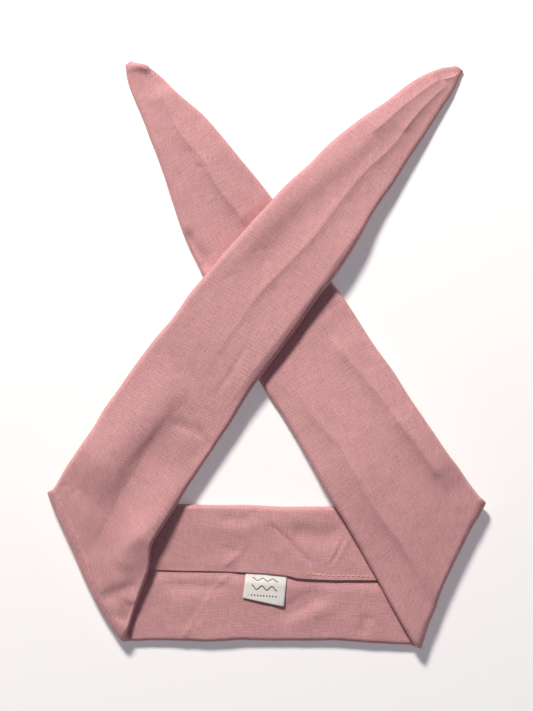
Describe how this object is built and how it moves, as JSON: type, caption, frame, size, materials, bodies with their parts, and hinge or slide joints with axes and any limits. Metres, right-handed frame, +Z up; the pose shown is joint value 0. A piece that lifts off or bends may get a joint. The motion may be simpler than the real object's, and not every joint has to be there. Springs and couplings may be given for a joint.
{
  "type": "bendable fabric headband",
  "caption": "Flat cotton tube headband with pointed ends and a bendable wire inside, laid as a loop with both arms folded over the middle and crossed",
  "frame": {"origin": "centre of the footprint, on the surface that the headband lies on", "axes": "+Z up out of that surface, +Y from the middle section towards the two tips, +X to the right as the seam and label face up"},
  "size_m": [0.2418, 0.3255, 0.0106],
  "materials": {
    "cloth": "dusty pink plain-weave cotton",
    "wire": "soft steel wire",
    "coat": "matte off-white",
    "thread": "pale cream sewing thread",
    "label": "satin-woven ribbon",
    "mark": "dark woven mark"
  },
  "bodies": {
    "middle": {"sleeve_middle": "cloth", "sleeve_fold_left": "cloth", "sleeve_fold_right": "cloth", "wire_middle": "wire", "wire_fold_left": "wire", "wire_fold_right": "wire", "coat_middle": "coat", "coat_fold_left": "coat", "coat_fold_right": "coat", "seam_thread_middle": "thread", "closing_stitches": "thread", "backtack_stitches": "thread", "label_tail": "label", "label_stitches": "thread"},
    "left_arm": {"sleeve_left_arm": "cloth", "sleeve_left_bend": "cloth", "wire_left_arm": "wire", "wire_left_bend": "wire", "coat_left_arm": "coat", "coat_left_bend": "coat", "seam_thread_left_arm": "thread"},
    "left_ear": {"sleeve_left_ear": "cloth", "wire_left_ear": "wire", "coat_left_ear": "coat", "seam_thread_left_ear": "thread", "tip_thread_left": "thread"},
    "right_arm": {"sleeve_right_arm": "cloth", "sleeve_right_bend": "cloth", "wire_right_arm": "wire", "wire_right_bend": "wire", "coat_right_arm": "coat", "coat_right_bend": "coat", "seam_thread_right_arm": "thread"},
    "right_ear": {"sleeve_right_ear": "cloth", "wire_right_ear": "wire", "coat_right_ear": "coat", "seam_thread_right_ear": "thread", "tip_thread_right": "thread"},
    "label_flap": {"label_ribbon": "label", "label_mark": "mark"}
  },
  "joints": [
    {"name": "left_fold", "type": "hinge", "parent": "middle", "child": "left_arm", "pos_m": [-0.09588, -0.11559, 0.0053], "axis": [0.454, -0.891, 0], "range_deg": [0, 170], "deforming": ["sleeve_fold_left", "wire_fold_left", "coat_fold_left"]},
    {"name": "right_fold", "type": "hinge", "parent": "middle", "child": "right_arm", "pos_m": [0.09851, -0.12047, 0.0053], "axis": [0.4067, 0.9135, 0], "range_deg": [0, 85], "deforming": ["sleeve_fold_right", "wire_fold_right", "coat_fold_right"]},
    {"name": "left_ear_bend", "type": "hinge", "parent": "left_arm", "child": "left_ear", "pos_m": [0.03137, 0.07931, 0.0081], "axis": [0.7986, -0.6018, 0], "range_deg": [0, 110], "deforming": ["sleeve_left_bend", "wire_left_bend", "coat_left_bend"]},
    {"name": "right_ear_bend", "type": "hinge", "parent": "right_arm", "child": "right_ear", "pos_m": [-0.02525, 0.08238, 0.0025], "axis": [0.8453, 0.5344, 0], "range_deg": [0, 95], "deforming": ["sleeve_right_bend", "wire_right_bend", "coat_right_bend"]},
    {"name": "label_flip", "type": "hinge", "parent": "middle", "child": "label_flap", "pos_m": [0.0004, -0.1215, 0.0057], "axis": [-0.9945, 0.1045, 0], "range_deg": [0, 150]}
  ],
  "couplings": [
    {"joint": "right_fold", "follows": "left_fold", "ratio": 0.5}
  ]
}
